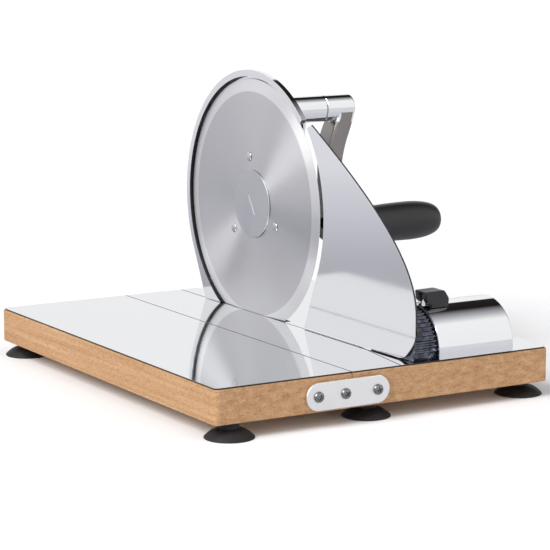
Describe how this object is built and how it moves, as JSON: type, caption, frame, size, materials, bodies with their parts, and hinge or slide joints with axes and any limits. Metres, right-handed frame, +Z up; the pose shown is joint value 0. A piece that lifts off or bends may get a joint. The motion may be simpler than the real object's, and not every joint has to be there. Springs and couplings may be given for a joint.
{
  "type": "hand-cranked food slicer",
  "caption": "Hand-cranked food slicer: round blade in a chrome guard on a jointed beech board with polished steel tops, a sliding stop plate that sets the slice thickness, and suction feet.",
  "frame": {"origin": "middle of the outline of the whole slicer at rest, on the plane that the feet stand on", "axes": "+Z up, +X along the blade shaft from the food side to the crank, +Y away from the operator"},
  "size_m": [0.3154, 0.3484, 0.222],
  "materials": {
    "beech": "oiled beech, fine short flecks",
    "polished_steel": "mirror-polished stainless steel",
    "chrome": "bright chrome plate",
    "plate_zinc": "satin zinc plate",
    "screw_steel": "bright turned steel",
    "rubber": "black moulded rubber",
    "blade_steel": "ground stainless steel, fine circular grain",
    "cap_steel": "matt blasted steel",
    "gear_plastic": "natural white acetal",
    "bronze": "sintered bronze",
    "black_plastic": "smooth satin black plastic",
    "dark_sleeve": "dark fluted metal, glossy",
    "block_aluminium": "cast aluminium"
  },
  "bodies": {
    "base": {"left_board": "beech", "right_board": "beech", "left_sheet": "polished_steel", "strip_sheet": "polished_steel", "right_sheet": "polished_steel", "front_joining_plate": "plate_zinc", "rear_joining_plate": "plate_zinc", "front_plate_screw_1": "screw_steel", "front_plate_screw_2": "screw_steel", "front_plate_screw_3": "screw_steel", "rear_plate_screw_1": "screw_steel", "rear_plate_screw_2": "screw_steel", "rear_plate_screw_3": "screw_steel", "foot_front_left": "rubber", "foot_rear_left": "rubber", "foot_front_middle": "rubber", "foot_rear_middle": "rubber", "foot_front_right": "rubber", "foot_rear_right": "rubber", "foot_screw_front_left": "screw_steel", "foot_screw_rear_left": "screw_steel", "foot_screw_front_middle": "screw_steel", "foot_screw_rear_middle": "screw_steel", "foot_screw_front_right": "screw_steel", "foot_screw_rear_right": "screw_steel", "machine_housing": "chrome", "housing_screw_1": "screw_steel", "housing_screw_2": "screw_steel", "bearing_tube": "chrome", "crank_bush_inner": "bronze", "crank_bush_outer": "bronze", "blade_bush_front": "bronze", "blade_bush_rear": "bronze", "guide_block": "block_aluminium", "block_screw_1": "screw_steel", "block_screw_2": "screw_steel", "thickness_cover": "chrome", "cover_screw": "screw_steel", "clamp_pin": "screw_steel", "clamp_pad": "rubber"},
    "blade_unit": {"blade": "blade_steel", "blade_carrier": "blade_steel", "blade_rivet_1": "blade_steel", "blade_rivet_2": "blade_steel", "blade_rivet_3": "blade_steel", "blade_gear": "gear_plastic", "blade_shaft": "screw_steel", "shaft_clip": "screw_steel"},
    "lock_cap": {"blade_lock_cap": "cap_steel"},
    "crank": {"crank_arm": "chrome", "crank_shaft": "screw_steel", "crank_pinion": "gear_plastic", "crank_screw": "screw_steel", "handle_screw": "screw_steel"},
    "handle": {"handle_grip": "black_plastic"},
    "plate_slide": {"stop_plate": "polished_steel", "plate_sleeve": "dark_sleeve", "guide_rod_1": "screw_steel", "guide_rod_2": "screw_steel"},
    "clamp": {"clamp_lever": "black_plastic"}
  },
  "joints": [
    {"name": "blade_spin", "type": "hinge", "parent": "base", "child": "blade_unit", "pos_m": [-0.00025, 0.052, 0.1205], "axis": [1, 0, 0], "continuous": true},
    {"name": "cap_turn", "type": "hinge", "parent": "blade_unit", "child": "lock_cap", "pos_m": [-0.00025, 0.052, 0.1205], "axis": [1, 0, 0], "range_deg": [0, 90]},
    {"name": "crank_spin", "type": "hinge", "parent": "base", "child": "crank", "pos_m": [-0.00025, 0.037, 0.19169], "axis": [1, 0, 0], "continuous": true},
    {"name": "handle_spin", "type": "hinge", "parent": "crank", "child": "handle", "pos_m": [0.06975, 0.037, 0.09949], "axis": [1, 0, 0], "continuous": true},
    {"name": "plate_travel", "type": "slide", "parent": "base", "child": "plate_slide", "axis": [1, 0, 0], "range_m": [0, 0.015]},
    {"name": "clamp_lift", "type": "hinge", "parent": "base", "child": "clamp", "pos_m": [0.02675, -0.1424, 0.0771], "axis": [0, -1, 0], "range_deg": [0, 70]}
  ],
  "couplings": [
    {"joint": "crank_spin", "follows": "blade_spin", "ratio": -4.1053}
  ]
}
